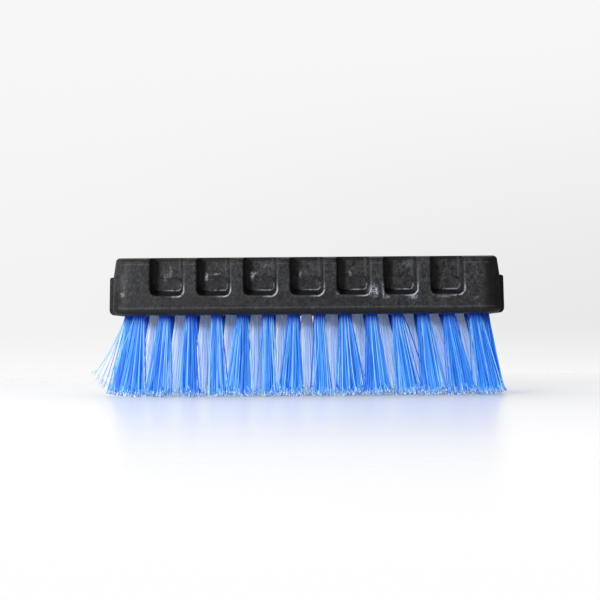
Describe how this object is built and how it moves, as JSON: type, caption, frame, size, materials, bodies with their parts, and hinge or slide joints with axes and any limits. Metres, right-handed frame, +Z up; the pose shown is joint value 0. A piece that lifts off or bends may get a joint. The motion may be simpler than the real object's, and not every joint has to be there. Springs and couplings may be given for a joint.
{
  "type": "scrub brush",
  "caption": "Hand scrub brush: a long black moulded block with finger recesses along both sides, set with stiff blue tufts round clear ones.",
  "frame": {"origin": "on the floor, under the middle of the brush as it stands on its bristle tips", "axes": "+X along the brush, to the picture's right; -Y towards the pictured side; +Z up, out of the top of the block"},
  "size_m": [0.1696, 0.0498, 0.0535],
  "materials": {
    "block_plastic": "black moulded polypropylene, satin, lightly scuffed",
    "blue_filament": "blue drawn polypropylene filament, cut ends frayed",
    "clear_filament": "clear drawn filament, milky where it packs"
  },
  "bodies": {
    "root": {"block": "block_plastic", "tuft_front_01": "blue_filament", "tuft_front_02": "blue_filament", "tuft_front_03": "blue_filament", "tuft_front_04": "blue_filament", "tuft_front_05": "blue_filament", "tuft_front_06": "blue_filament", "tuft_front_07": "blue_filament", "tuft_front_08": "blue_filament", "tuft_front_09": "blue_filament", "tuft_front_10": "blue_filament", "tuft_front_11": "blue_filament", "tuft_front_12": "blue_filament", "tuft_front_13": "blue_filament", "tuft_front_14": "blue_filament", "tuft_inner_front_01": "blue_filament", "tuft_inner_front_02": "clear_filament", "tuft_inner_front_03": "clear_filament", "tuft_inner_front_04": "clear_filament", "tuft_inner_front_05": "clear_filament", "tuft_inner_front_06": "clear_filament", "tuft_inner_front_07": "clear_filament", "tuft_inner_front_08": "clear_filament", "tuft_inner_front_09": "clear_filament", "tuft_inner_front_10": "clear_filament", "tuft_inner_front_11": "clear_filament", "tuft_inner_front_12": "clear_filament", "tuft_inner_front_13": "clear_filament", "tuft_inner_front_14": "clear_filament", "tuft_inner_front_15": "blue_filament", "tuft_inner_back_01": "blue_filament", "tuft_inner_back_02": "clear_filament", "tuft_inner_back_03": "clear_filament", "tuft_inner_back_04": "clear_filament", "tuft_inner_back_05": "clear_filament", "tuft_inner_back_06": "clear_filament", "tuft_inner_back_07": "clear_filament", "tuft_inner_back_08": "clear_filament", "tuft_inner_back_09": "clear_filament", "tuft_inner_back_10": "clear_filament", "tuft_inner_back_11": "clear_filament", "tuft_inner_back_12": "clear_filament", "tuft_inner_back_13": "clear_filament", "tuft_inner_back_14": "clear_filament", "tuft_inner_back_15": "blue_filament", "tuft_back_01": "blue_filament", "tuft_back_02": "blue_filament", "tuft_back_03": "blue_filament", "tuft_back_04": "blue_filament", "tuft_back_05": "blue_filament", "tuft_back_06": "blue_filament", "tuft_back_07": "blue_filament", "tuft_back_08": "blue_filament", "tuft_back_09": "blue_filament", "tuft_back_10": "blue_filament", "tuft_back_11": "blue_filament", "tuft_back_12": "blue_filament", "tuft_back_13": "blue_filament", "tuft_back_14": "blue_filament"}
  },
  "joints": []
}
